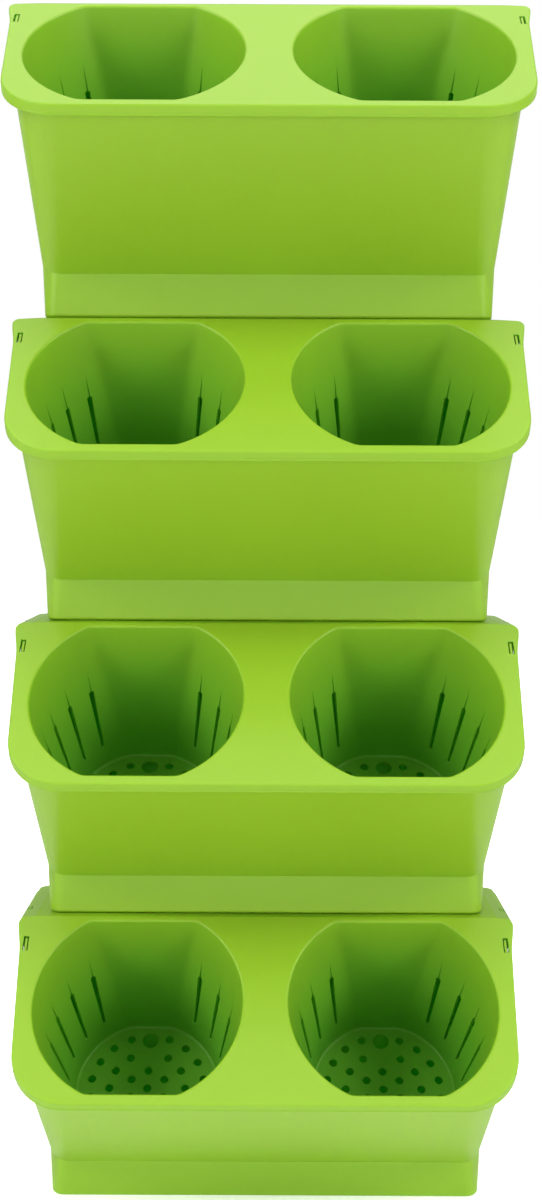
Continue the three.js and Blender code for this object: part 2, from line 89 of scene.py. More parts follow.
# Baskets. A round cone with a flat towards the wall, which leans in by a share of the depth,
# and a flat at the front, which follows the trough's front wall.
OPENING_RADIUS = 65 * MM
OPENING_SPACING = 158 * MM
OPENING_REAR_MARGIN = 5.5 * MM
OPENING_LENGTH = 114.5 * MM
REAR_FLAT = 55.7 * MM
REAR_FLAT_LEAN = 0.095
MOUTH_EDGE_RADIUS = 1.3 * MM
BASKET_TILT = math.radians(5.3)
BASKET_DEPTH = 105 * MM
BASKET_FLOOR_RADIUS = 47.5 * MM
BASKET_FLOOR_FILLET = 1.6 * MM
FLAT_BLEND = 0.25 * MM
FLAT_COSINE = 0.1
WALL_RING_SHARES = (0.9, 0.8, 0.7, 0.6, 0.5, 0.4, 0.3, 0.2, 0.12)
MOUTH_SEARCH_FROM = -20 * MM
MOUTH_SEARCH_STEPS = 40

# Slots and floor holes
SLOT_FIRST_ANGLE = math.radians(38)
SLOT_STEP_ANGLE = math.radians(18.5)
SLOTS_PER_SIDE = 4
SLOT_TOP_DEPTH = 43.5 * MM
SLOT_BOTTOM_DEPTH = 90 * MM
SLOT_TOP_WIDTH = 3.6 * MM
SLOT_BOTTOM_WIDTH = 1.9 * MM
GROOVE_TOP_DEPTH = 27 * MM
GROOVE_WIDTH = 1.5 * MM
GROOVE_DEPTH = 0.9 * MM
HOLE_RADIUS = 2.8 * MM
HOLE_RING_STEP = 12.7 * MM
HOLE_RINGS = 3
HOLES_ADDED_PER_RING = 6
WICK_HOLE_RADIUS = 5.5 * MM
WICK_HOLE_PLACE = 35.2 * MM

# Trough
RIM_WIDTH_AT_FRONT = 285 * MM
RIM_WIDTH_AT_FOLD = 308 * MM
CREASE_WIDTH = 283.4 * MM
CREASE_WIDTH_AT_WALL = 288 * MM
BOTTOM_WIDTH = 281.6 * MM
BOTTOM_WIDTH_AT_WALL = 285 * MM
TOP_CORNER_RADIUS = 24 * MM
CREASE_CORNER_RADIUS = 13 * MM
BOTTOM_CORNER_RADIUS = 8 * MM
WALL_CORNER_RADIUS = 6 * MM
BOTTOM_FILLET = 2 * MM
BAND_HEIGHT = 26 * MM
CREASE_REACH = 2.5 * MM
BAND_SETBACK = 4.5 * MM

# Latch tongues and slots
DECK_LATCH = {"offset": 152.9 * MM, "start": 16 * MM, "length": 10 * MM, "width": 3.3 * MM}
DECK_TONGUE = {"offset": 152.7 * MM, "start": 17.2 * MM, "length": 8.5 * MM, "width": 1.4 * MM}
DECK_LATCH_PIT = 1.6 * MM
LEDGE_LATCH = {"offset": 155.5 * MM, "from_fold": 18 * MM, "length": 5 * MM, "width": 3.2 * MM}
LEDGE_LATCH_PLAY = 0.9 * MM
LEDGE_TONGUE_HEIGHT = 1 * MM

# Screw holes, overflow tube and its socket, and the inlet in the ledge
SCREW_HOLE_PLACE = 100 * MM
SCREW_HOLE_DROP = 26 * MM
SCREW_HOLE_RADIUS = 2.5 * MM
TUBE_RADIUS = 6.5 * MM
TUBE_BORE_RADIUS = 4.5 * MM
TUBE_HEIGHT = 36 * MM
TUBE_FROM_FOLD = 36 * MM
TUBE_COLLAR_RADIUS = 8 * MM
TUBE_COLLAR_HEIGHT = 3 * MM
SOCKET_DEPTH = 8 * MM
SOCKET_FLOOR = 1.2 * MM
INLET_RADIUS = 9 * MM

# Smoothness
CONE_STEPS = 160
CORNER_STEPS = 12
ROUND_STEPS = 40
HOLE_STEPS = 20
FILLET_STEPS = 4
SHARP_ANGLE = math.radians(32)
FLAT_WEIGHT = 90

# Camera, placed from the middle of the top fold
FOCAL_PIXELS = 1387.6
IMAGE_HEIGHT = 1200
SENSOR = 36
PRINCIPAL_DROP_PIXELS = 12.7
CAMERA_SIDE = 2.4 * MM
CAMERA_DISTANCE = 879.2 * MM
CAMERA_DROP = 304.4 * MM
CAMERA_PITCH = math.radians(4.61)
CAMERA_ROLL = math.radians(0.25)
CAMERA_CLIP = (0.05, 100)

# Plastic. Its green is painted darker and deeper where the surface is hemmed in: painted shade
# in recesses. A share of its light is glow that comes through from behind.
GREEN = (0.345, 0.58, 0.024)
# Painted shade: the green that hemmed-in surfaces are painted with, and how far the occlusion looks
PAINTED_SHADE_GREEN = (0.14, 0.56, 0.04)
PAINTED_SHADE_REACH = 110 * MM
GLOW = (0.03, 0.57, 0.004)
GLOW_SHARE = 0.36
REFRACTION = 1.49
FLOW = {"scale": 9, "detail": 3, "tint": 0.04, "smooth": 0.34, "rough": 0.44}
GRAIN = {"scale": 900, "detail": 2, "strength": 0.12, "depth": 0.05 * MM}
SOFT_EDGE = 0.5 * MM
SHADE_SAMPLES = 4

# Floor, backdrop and light. The floor's glow fades with the distance from the tower, and what
# the camera sees of it is lifted to white further out.
FLOOR_COLOUR = (0.86, 0.86, 0.85)
FLOOR_ROUGHNESS = 0.9
FLOOR_REACH = 40
FLOOR_GLOW = {"near": 0.45, "far": 0.16, "start": 0.12, "end": 0.42}
FLOOR_LIFT_IN_VIEW = 0.6
SKY_LIGHT = {"horizon": 0.12, "zenith": 0.4}
SOFTBOXES = {
    "left_softbox": {"place": (-2.4, -1.4, 2.4), "size": (1.2, 1.2), "power": 66},
    "right_softbox": {"place": (2.4, -1.4, 2.4), "size": (1.2, 1.2), "power": 66},
    "top_softbox": {"place": (0, 0.2, 3), "size": (2, 2), "power": 28},
    "high_softbox": {"place": (0, -0.9, 3), "size": (1.6, 1), "power": 12},
    "front_softbox": {"place": (0, -3, 1.1), "size": (1.6, 1), "power": 7},
    "low_softbox": {"place": (0, -2.4, 0.14), "size": (1.6, 0.24), "power": 3},
    "left_strip": {"place": (-1.9, -1.6, 0.6), "size": (0.3, 1.2), "power": 13},
    "right_strip": {"place": (1.9, -1.6, 0.6), "size": (0.3, 1.2), "power": 13},
}
SOFTBOX_TARGET = (0, 0, 0.4)
BACKDROP_START = 0.05
BACKDROP_FULL = 0.7

COS = math.cos(DECK_ANGLE)
SIN = math.sin(DECK_ANGLE)
DECK_TURN = Matrix.Rotation(DECK_ANGLE, 4, "X")
TROUGH_BOTTOM = SEAT_GAP - TIER_PITCH
TROUGH_FRONT = DECK_LENGTH - WALL - FIT_GAP
OPENING_CENTRE = OPENING_REAR_MARGIN + REAR_FLAT
CONE_SLOPE = (OPENING_RADIUS - BASKET_FLOOR_RADIUS) / BASKET_DEPTH


# Meshes

def mesh_object(name, points, faces):
    mesh = bpy.data.meshes.new(name)
    mesh.from_pydata([tuple(point) for point in points], [], faces)
    mesh.validate()
    obj = bpy.data.objects.new(name, mesh)
    bpy.context.scene.collection.objects.link(obj)
    return obj


def bake(obj):
    """Applies the object's modifiers to its mesh."""
    depsgraph = bpy.context.evaluated_depsgraph_get()
    mesh = bpy.data.meshes.new_from_object(obj.evaluated_get(depsgraph))
    old = obj.data
    obj.modifiers.clear()
    obj.data = mesh
    bpy.data.meshes.remove(old)
    return obj


def combine(target, tool, operation):
    modifier = target.modifiers.new("combine", "BOOLEAN")
    modifier.object = tool
    modifier.operation = operation
    modifier.solver = "MANIFOLD"
    bake(target)
    bpy.data.objects.remove(tool)
    return target


def union(target, tool):
    return combine(target, tool, "UNION")


def difference(target, tool):
    return combine(target, tool, "DIFFERENCE")


def intersection(target, tool):
    return combine(target, tool, "INTERSECT")


def gather(objects):
    """One object from several that don't touch."""
    points, faces = [], []
    for obj in objects:
        start = len(points)
        points += [vertex.co.copy() for vertex in obj.data.vertices]
        faces += [[start + index for index in face.vertices] for face in obj.data.polygons]
    gathered = mesh_object(objects[0].name, points, faces)
    for obj in objects:
        bpy.data.objects.remove(obj)
    return gathered


def moved(obj, matrix):
    obj.data.transform(matrix)
    if matrix.determinant() < 0:
        obj.data.flip_normals()
    return obj


def copied(obj, matrix):
    twin = obj.copy()
    twin.data = obj.data.copy()
    bpy.context.scene.collection.objects.link(twin)
    return moved(twin, matrix)


def both_sides(obj):
    return gather([obj, copied(obj, Matrix.Scale(-1, 4, (1, 0, 0)))])


def loft(name, rings):
    """Closed skin over a stack of rings with equal numbers of points."""
    count = len(rings[0])
    points = [point for ring in rings for point in ring]
    faces = []
    for level in range(len(rings) - 1):
        for index in range(count):
            following = (index + 1) % count
            upper, lower = level * count, (level + 1) * count
            faces.append((upper + index, lower + index, lower + following, upper + following))
    faces.append(tuple(range(count)))
    faces.append(tuple(reversed(range(len(points) - count, len(points)))))
    obj = mesh_object(name, points, faces)
    return outward(obj)


def outward(obj):
    """Turns all faces out if the enclosed volume comes out negative."""
    volume = 0
    mesh = obj.data
    for face in mesh.polygons:
        corners = [mesh.vertices[index].co for index in face.vertices]
        for second, third in zip(corners[1:], corners[2:]):
            volume += corners[0].dot(second.cross(third))
    if volume < 0:
        mesh.flip_normals()
    return obj


def round_edges(obj, ring, count, width):
    """Rounds the edges of one ring of a loft."""
    mesh = obj.data
    weights = mesh.attributes.new("bevel_weight_edge", "FLOAT", "EDGE")
    members = range(ring * count, (ring + 1) * count)
    for edge, weight in zip(mesh.edges, weights.data):
        weight.value = float(edge.vertices[0] in members and edge.vertices[1] in members)
    modifier = obj.modifiers.new("round", "BEVEL")
    modifier.limit_method = "WEIGHT"
    modifier.width = width
    modifier.segments = FILLET_STEPS
    return bake(obj)


def outline(corners, inset=0):
    """Points of a convex outline drawn in by an inset, from corners given as (x, y, radius)."""
    points = []
    for index, (x, y, radius) in enumerate(corners):
        here = Vector((x, y))
        back = (Vector(corners[index - 1][:2]) - here).normalized()
        ahead = (Vector(corners[(index + 1) % len(corners)][:2]) - here).normalized()
        half_angle = back.angle(ahead) / 2
        inward = (back + ahead).normalized()
        if not radius:
            points.append(here + inward * (inset / math.sin(half_angle)))
            continue
        centre = here + inward * (radius / math.sin(half_angle))
        start = here + back * (radius / math.tan(half_angle)) - centre
        end = here + ahead * (radius / math.tan(half_angle)) - centre
        sweep = start.angle_signed(end)
        for step in range(CORNER_STEPS + 1):
            arm = start.copy()
            arm.rotate(Matrix.Rotation(-sweep * step / CORNER_STEPS, 2))
            points.append(centre + arm * ((radius - inset) / radius))
    return points


def quarter_round(steps):
    """What is left over of sine and cosine in equal steps from 0 to 90 degrees."""
    for step in range(steps + 1):
        turn = math.pi / 2 * step / steps
        yield 1 - math.sin(turn), 1 - math.cos(turn)


def prism(name, ring, levels):
    """Upright prism. Each level is a height and what the function for its ring is called with."""
    return loft(name, [[(*point, height) for point in ring(*drawn)] for height, *drawn in levels])


def across(name, profile, half):
    """Prism of a side profile, given as (y, z) points, reaching equally far to both sides."""
    return loft(name, [[(side * half, y, z) for y, z in profile] for side in (-1, 1)])


def turned(name, profile, steps=ROUND_STEPS):
    """Upright round solid from (radius, height) pairs."""
    rings = []
    for radius, height in profile:
        ring = []
        for step in range(steps):
            turn = 2 * math.pi * step / steps
            ring.append((radius * math.cos(turn), radius * math.sin(turn), height))
        rings.append(ring)
    return loft(name, rings)


def block(name, size, centre):
    points = []
    for x in (-0.5, 0.5):
        for y in (-0.5, 0.5):
            for z in (-0.5, 0.5):
                points.append(Vector(centre) + Vector((x * size[0], y * size[1], z * size[2])))
    faces = [(0, 1, 3, 2), (4, 6, 7, 5), (0, 4, 5, 1), (2, 3, 7, 6), (0, 2, 6, 4), (1, 5, 7, 3)]
    return outward(mesh_object(name, points, faces))


def smooth(obj):
    """Soft shading that keeps sharp edges sharp and large flats flat."""
    obj.data.shade_smooth()
    obj.data.set_sharp_from_angle(angle=SHARP_ANGLE)
    modifier = obj.modifiers.new("flats", "WEIGHTED_NORMAL")
    modifier.keep_sharp = True
    modifier.weight = FLAT_WEIGHT
    return bake(obj)


# Side profile of the tray, as (y, z) points

def deck_point(along, over):
    return Vector((-along * COS - over * SIN, -along * SIN + over * COS))


def below(depth, fold_radius=0):
    """Everything lower than the tray's top face let down by a depth."""
    back = LEDGE_DEPTH + OVERRUN
    front = deck_point(2 * DECK_LENGTH, -depth)
    fold = Vector((depth * math.tan(DECK_ANGLE / 2), -depth))
    tangent = fold_radius * math.tan(DECK_ANGLE / 2)
    profile = [(back, -depth)]
    steps = 2 * FILLET_STEPS if fold_radius else 0
    for step in range(steps + 1):
        turn = DECK_ANGLE * step / max(steps, 1)
        y = fold.x + tangent - fold_radius * math.sin(turn)
        profile.append((y, fold.y - fold_radius * (1 - math.cos(turn))))
    profile += [tuple(front), (front.x, -2 * TIER_PITCH), (back, -2 * TIER_PITCH)]
    return across("below", profile, LEDGE_WIDTH)


def ledge_ring(inset):
    """Outline of the ledge, which runs up to the fold with square ends."""
    half = LEDGE_WIDTH / 2
    corners = [
        (half, LEDGE_DEPTH, LEDGE_CORNER_RADIUS),
        (-half, LEDGE_DEPTH, LEDGE_CORNER_RADIUS),
        (-half, -inset, 0),
        (half, -inset, 0),
    ]
    return outline(corners, inset)


def deck_ring(inset, behind, draft=0):
    """Outline of the deck from behind the fold, where it is as wide as the ledge, to the front,
    which a draft draws in. The ledge's overhang fades out along the shoulders."""
    half = DECK_WIDTH_AT_FOLD / 2
    taper = (half - DECK_WIDTH_AT_FRONT / 2) / DECK_LENGTH
    overhang = LEDGE_WIDTH / 2 - half
    right = [Vector((half + overhang - inset, behind))]
    for step in range(CORNER_STEPS + 1):
        share = step / CORNER_STEPS
        along = SHOULDER_START + (SHOULDER_END - SHOULDER_START) * share
        fading = overhang * (1 + math.cos(math.pi * share)) / 2
        fading += taper * SHOULDER_START * (1 - share)
        right.append(Vector((half - taper * along + fading - inset, -along)))
    left = [Vector((-point.x, point.y)) for point in right]
    front_half = DECK_WIDTH_AT_FRONT / 2
    front = outline([
        (half, 0, 0),
        (-half, 0, 0),
        (-front_half, draft - DECK_LENGTH, DECK_CORNER_RADIUS),
        (front_half, draft - DECK_LENGTH, DECK_CORNER_RADIUS),
    ], inset)[2:]
    return [right[0], *left, *front, *reversed(right[1:])]


def footprint(inset):
    """Everything inside the tray's outline drawn in by an inset, also above its top face."""
    levels = [(-LIP_DEPTH - OVERRUN, inset), (OVERRUN, inset)]
    deck = moved(prism("deck", lambda drawn: deck_ring(drawn, LIP_DEPTH), levels), DECK_TURN)
    return union(deck, prism("ledge", ledge_ring, levels))


def tray_block():
    """The tray's outside before it is hollowed. Levels are (height, inset, draft at the front)."""
    edge = TRAY_EDGE_RADIUS
    bead_top = BEAD_HEIGHT - LIP_DEPTH
    levels = [
        (-LIP_DEPTH - BEAD_ROUND, 2 * BEAD_ROUND, 0),
        (-LIP_DEPTH + BEAD_ROUND, 0, 0),
        (bead_top - BEAD_REACH, 0, 0),
        (bead_top, 0, BEAD_REACH),
    ]
    for down, inward in quarter_round(FILLET_STEPS):
        levels.append((-edge * down, edge * inward, LIP_DRAFT))
    deck = moved(prism("deck", lambda inset, draft: deck_ring(inset, 0, draft), levels), DECK_TURN)
    body = union(deck, prism("ledge", lambda inset, draft: ledge_ring(inset), levels))
    return intersection(body, shoulders())


def shoulders():
    """Everything under a top that droops a little to both sides and ends there in a rounded edge."""
    half = LEDGE_WIDTH / 2 + HAIR
    level_half = half - DROOP_LENGTH
    floor = -TIER_PITCH
    profile = outline([
        (half, -SHOULDER_DROOP, SHOULDER_RADIUS),
        (level_half, HAIR, DROOP_RADIUS),
        (-level_half, HAIR, DROOP_RADIUS),
        (-half, -SHOULDER_DROOP, SHOULDER_RADIUS),
        (-half, floor, 0),
        (half, floor, 0),
    ])
    ends = (-DECK_LENGTH - OVERRUN, LEDGE_DEPTH + OVERRUN)
    return loft("shoulders", [[(x, y, z) for x, z in profile] for y in ends])


# Baskets, drawn round their own axis: x to the right, y to the wall, depth down the axis

def front_wall_direction():
    """Down the trough's sloping front wall, in side view."""
    crease = Vector((-CREASE_REACH, TROUGH_BOTTOM + BAND_HEIGHT))
    return (crease - deck_point(TROUGH_FRONT, 0)).normalized()


def front_flat(depth):
    """Distance from the axis to the flat that keeps clear of the trough's front wall."""
    wall = front_wall_direction()
    lean = math.atan2(wall.x, -wall.y) - DECK_ANGLE
    return OPENING_LENGTH - REAR_FLAT - depth * math.tan(BASKET_TILT + lean)


def wall_point(turn, depth, grow):
    """Point of the basket's wall. A turn of zero is towards the wall behind the tower."""
    reaches = [OPENING_RADIUS - CONE_SLOPE * depth + grow]
    toward_rear = math.cos(turn)
    if toward_rear > FLAT_COSINE:
        reaches.append((REAR_FLAT - REAR_FLAT_LEAN * depth + grow) / toward_rear)
    if toward_rear < -FLAT_COSINE:
        reaches.append((front_flat(depth) + grow) / -toward_rear)
    nearest = min(reaches)
    total = sum(math.exp((nearest - reach) / FLAT_BLEND) for reach in reaches)
    radius = nearest - FLAT_BLEND * math.log(total)
    return Vector((radius * math.sin(turn), radius * math.cos(turn), -depth))


BASKET_TURN = Matrix.Rotation(-BASKET_TILT, 4, "X")
BASKET_PLACE = Matrix.Translation((OPENING_SPACING / 2, -OPENING_CENTRE, 0)) @ BASKET_TURN


def level_ring(depth, grow, draw_in=0):
    """Ring of the basket's wall square to its axis, at a depth below the mouth's middle."""
    ring = []
    for step in range(CONE_STEPS):
        point = wall_point(2 * math.pi * step / CONE_STEPS, depth, grow - draw_in)
        ring.append(BASKET_PLACE @ point)
    return ring


def mouth_ring(height, grow, spread=0):
    """Where the basket's wall meets a plane over or under the deck, spread outwards."""
    ring = []
    for step in range(CONE_STEPS):
        turn = 2 * math.pi * step / CONE_STEPS
        low, high = MOUTH_SEARCH_FROM, BASKET_DEPTH / 2
        for _ in range(MOUTH_SEARCH_STEPS):
            middle = (low + high) / 2
            above = (BASKET_PLACE @ wall_point(turn, middle, grow)).z > height
            low, high = (middle, high) if above else (low, middle)
        ring.append(BASKET_PLACE @ wall_point(turn, high, grow))
    spread_ring = []
    for index, point in enumerate(ring):
        tangent = ring[(index + 1) % CONE_STEPS] - ring[index - 1]
        normal = Vector((-tangent.y, tangent.x, 0)).normalized()
        spread_ring.append(point + normal * spread)
    return spread_ring


def basket_rings(grow):
    """Rings of the basket's skin from its rounded floor edge up to the last one under the mouth."""
    rings = []
    for inward, up in quarter_round(FILLET_STEPS):
        depth = BASKET_DEPTH + grow - BASKET_FLOOR_FILLET * up
        rings.append(level_ring(depth, grow, BASKET_FLOOR_FILLET * inward))
    for share in WALL_RING_SHARES:
        rings.append(level_ring(BASKET_DEPTH * share, grow))
    return rings


def basket_hollow():
    rings = basket_rings(0)
    edge = MOUTH_EDGE_RADIUS
    for down, outward_by in quarter_round(FILLET_STEPS):
        rings.append(mouth_ring(-edge * down, 0, edge * outward_by))
    rings.append([point + Vector((0, 0, OVERRUN)) for point in rings[-1]])
    return loft("hollow", rings)


def basket_outside():
    return loft("basket", [*basket_rings(WALL), mouth_ring(-WALL / 2, WALL)])


def slot_cutters(turn):
    """Slot that gets narrower towards the floor, and the shallow groove that runs up from it."""
    slot = slot_wedge(
        (SLOT_TOP_DEPTH, SLOT_TOP_WIDTH, 2 * WALL),
        (SLOT_BOTTOM_DEPTH, SLOT_BOTTOM_WIDTH, 2 * WALL),
    )
    groove = slot_wedge(
        (GROOVE_TOP_DEPTH, HAIR, HAIR),
        (SLOT_TOP_DEPTH + WALL, GROOVE_WIDTH, GROOVE_DEPTH),
    )
    return moved(union(slot, groove), Matrix.Rotation(turn, 4, "Z"))


def slot_wedge(top, bottom):
    """Upright wedge. An end is (depth, width, how far it cuts out from the cone's inside)."""
    rings = []
    for depth, width, cut in (top, bottom):
        wall = OPENING_RADIUS - CONE_SLOPE * depth
        corners = ((1, cut), (-1, cut), (-1, -2 * WALL), (1, -2 * WALL))
        rings.append([(side * width / 2, wall + reach, -depth) for side, reach in corners])
    return loft("wedge", rings)


def hole_cutter(place, turn, radius):
    low, high = -BASKET_DEPTH - WALL - OVERRUN, -BASKET_DEPTH + OVERRUN
    cutter = turned("hole", [(radius, low), (radius, high)], HOLE_STEPS)
    centre = (place * math.sin(turn), place * math.cos(turn), 0)
    return moved(cutter, Matrix.Translation(centre))


def floor_holes():
    cutters = [hole_cutter(WICK_HOLE_PLACE, 0, WICK_HOLE_RADIUS), hole_cutter(0, 0, HOLE_RADIUS)]
    front = front_flat(BASKET_DEPTH)
    for ring in range(1, HOLE_RINGS + 1):
        place = ring * HOLE_RING_STEP
        count = HOLES_ADDED_PER_RING * ring
        for index in range(count):
            turn = 2 * math.pi * index / count
            by_wick = index == 0 and place + 2 * WICK_HOLE_RADIUS > WICK_HOLE_PLACE
            by_front = 2 * HOLE_RADIUS - place * math.cos(turn) > front
            if not by_wick and not by_front:
                cutters.append(hole_cutter(place, turn, HOLE_RADIUS))
    return cutters


def on_deck(latch, low, high):
    """Blocks at both sides of the deck, as long and wide as a latch, between two heights."""
    size = (latch["width"], latch["length"], high - low)
    centre = (latch["offset"], -latch["start"] - latch["length"] / 2, (low + high) / 2)
    return moved(both_sides(block("latch", size, centre)), DECK_TURN)


def planting_tray():
    tray = intersection(tray_block(), below(-HAIR, FOLD_RADIUS))
    tray = difference(tray, below(LIP_DEPTH))
    pocket = intersection(footprint(WALL), below(WALL))
    tray = difference(tray, pocket)
    behind = (LEDGE_WIDTH + OVERRUN, 2 * LEDGE_CORNER_RADIUS, 2 * LIP_DEPTH)
    tray = difference(tray, block("behind", behind, (0, LEDGE_DEPTH, -WALL - LIP_DEPTH)))
    tray = union(tray, moved(both_sides(basket_outside()), DECK_TURN))
    tray = difference(tray, moved(both_sides(basket_hollow()), DECK_TURN))
    cutters = floor_holes()
    for index in range(SLOTS_PER_SIDE):
        angle = SLOT_FIRST_ANGLE + SLOT_STEP_ANGLE * index
        cutters += [slot_cutters(angle), slot_cutters(-angle)]
    cuts = moved(gather(cutters), BASKET_PLACE)
    tray = difference(tray, moved(both_sides(cuts), DECK_TURN))
    tray = difference(tray, on_deck(DECK_LATCH, -LIP_DEPTH, LIP_DEPTH))
    latch = LEDGE_LATCH
    size = (latch["width"], latch["length"], 2 * LIP_DEPTH)
    ledge_slot = block("slot", size, (latch["offset"], latch["from_fold"], 0))
    tray = difference(tray, both_sides(ledge_slot))
    inlet = turned("inlet", [(INLET_RADIUS, -LIP_DEPTH), (INLET_RADIUS, LIP_DEPTH)])
    return difference(tray, moved(inlet, Matrix.Translation((0, TUBE_FROM_FOLD, 0))))


# Trough

def section(front, rise, spread, halves, corner, back, wall_corner):
    """Ring round the trough in a plane that runs back from the front wall along a rise. Front
    corners keep their radius square to the wall, so in the plane they are spread along it."""
    length = (back - front.x) / rise.x
    right = []

    def push(along, narrowing):
        half = halves[0] + (halves[1] - halves[0]) * along / length - narrowing
        right.append(Vector((half, front.x + rise.x * along, front.y + rise.y * along)))

    for sideways, back_along in quarter_round(CORNER_STEPS):
        push(corner * back_along * spread, corner * sideways)
    for forward, sideways in quarter_round(CORNER_STEPS):
        push(length - wall_corner * forward / rise.x, wall_corner * sideways)
    return right + [Vector((-point.x, point.y, point.z)) for point in reversed(right)]


def trough_body(inset):
    """The trough's body drawn in by an inset: none for its outside, the wall for its hollow."""
    wall_down = front_wall_direction()
    wall_inward = Vector((-wall_down.y, wall_down.x))
    band_down = Vector((BAND_SETBACK, -BAND_HEIGHT)).normalized()
    band_inward = Vector((-band_down.y, band_down.x))
    up_slope = deck_point(-1, 0)
    mitre = (wall_inward + band_inward).normalized()
    rim_spread = 1 / up_slope.dot(wall_inward)
    mitre_spread = 1 / mitre.dot(wall_inward)
    rim = deck_point(TROUGH_FRONT, 0) + up_slope * (inset * rim_spread)
    crease = Vector((-CREASE_REACH, TROUGH_BOTTOM + BAND_HEIGHT))
    crease += mitre * (inset * mitre_spread)
    back = LEDGE_DEPTH - inset
    rim_half = RIM_WIDTH_AT_FRONT / 2 - inset
    rim_taper = (RIM_WIDTH_AT_FOLD - RIM_WIDTH_AT_FRONT) / 2 / TROUGH_FRONT
    rim_halves = (rim_half, rim_half + rim_taper * (back - rim.x) / up_slope.x)
    crease_halves = (CREASE_WIDTH / 2 - inset, CREASE_WIDTH_AT_WALL / 2 - inset)
    bottom_halves = (BOTTOM_WIDTH / 2 - inset, BOTTOM_WIDTH_AT_WALL / 2 - inset)
    bottom = TROUGH_BOTTOM + inset
    foot = Vector((crease.x + (crease.y - bottom) * BAND_SETBACK / BAND_HEIGHT, bottom))
    level = Vector((1, 0))
    sections = [
        (rim, up_slope, rim_spread, rim_halves, TOP_CORNER_RADIUS - inset),
        (crease, mitre, mitre_spread, crease_halves, CREASE_CORNER_RADIUS - inset),
        (foot, level, 1, bottom_halves, BOTTOM_CORNER_RADIUS - inset),
    ]
    rings = [section(*drawn, back, WALL_CORNER_RADIUS - inset) for drawn in sections]
    return round_edges(loft("trough", rings), 2, len(rings[0]), BOTTOM_FILLET)


def socket_and_bore():
    floor_top = TROUGH_BOTTOM + WALL
    fit = TUBE_RADIUS + SEAT_GAP
    mouth = floor_top + SOCKET_DEPTH
    socket = turned("socket", [(fit + WALL, TROUGH_BOTTOM + WALL / 2), (fit + WALL, mouth)])
    bore = turned("bore", [
        (TUBE_BORE_RADIUS, TROUGH_BOTTOM - OVERRUN),
        (TUBE_BORE_RADIUS, TROUGH_BOTTOM + SOCKET_FLOOR),
        (fit, TROUGH_BOTTOM + SOCKET_FLOOR),
        (fit, mouth + OVERRUN),
    ])
    place = Matrix.Translation((0, TUBE_FROM_FOLD, 0))
    return moved(socket, place), moved(bore, place)


def latch_tongues():
    """Tips that stand free in the slots of the tray."""
    deck_tongues = on_deck(DECK_TONGUE, -SEAT_GAP - 2 * WALL, -SEAT_GAP)
    latch = LEDGE_LATCH
    height = LEDGE_TONGUE_HEIGHT + WALL
    size = (latch["width"] - 2 * FIT_GAP, latch["length"] - 2 * LEDGE_LATCH_PLAY, height)
    top = LEDGE_TONGUE_HEIGHT - WALL - SEAT_GAP
    ledge_tongue = block("tongue", size, (latch["offset"], latch["from_fold"], top - height / 2))
    return gather([deck_tongues, both_sides(ledge_tongue)])


def trough():
    seat = WALL + SEAT_GAP
    body = intersection(trough_body(0), below(seat))
    flange = intersection(footprint(WALL + FIT_GAP), below(seat))
    flange = difference(flange, below(seat + WALL))
    body = union(body, flange)
    body = difference(body, trough_body(WALL))
    body = difference(body, on_deck(DECK_LATCH, -seat - DECK_LATCH_PIT, 0))
    body = union(body, latch_tongues())
    socket, bore = socket_and_bore()
    body = difference(union(body, socket), bore)
    profile = [(SCREW_HOLE_RADIUS, -OVERRUN), (SCREW_HOLE_RADIUS, OVERRUN)]
    screw = moved(turned("screw", profile, HOLE_STEPS), Matrix.Rotation(math.pi / 2, 4, "X"))
    place = Matrix.Translation((SCREW_HOLE_PLACE, LEDGE_DEPTH, -SCREW_HOLE_DROP))
    return difference(body, both_sides(moved(screw, place)))


def overflow_tube():
    foot = TROUGH_BOTTOM + SOCKET_FLOOR + SEAT_GAP
    mouth = foot + TUBE_HEIGHT
    collar = mouth - TUBE_COLLAR_HEIGHT
    outside = turned("tube", [
        (TUBE_RADIUS, foot),
        (TUBE_RADIUS, collar - (TUBE_COLLAR_RADIUS - TUBE_RADIUS)),
        (TUBE_COLLAR_RADIUS, collar),
        (TUBE_COLLAR_RADIUS, mouth),
    ])
    bore = turned("bore", [(TUBE_BORE_RADIUS, foot - OVERRUN), (TUBE_BORE_RADIUS, mouth + OVERRUN)])
    tube = difference(outside, bore)
    return moved(tube, Matrix.Translation((0, TUBE_FROM_FOLD, 0)))


# Materials

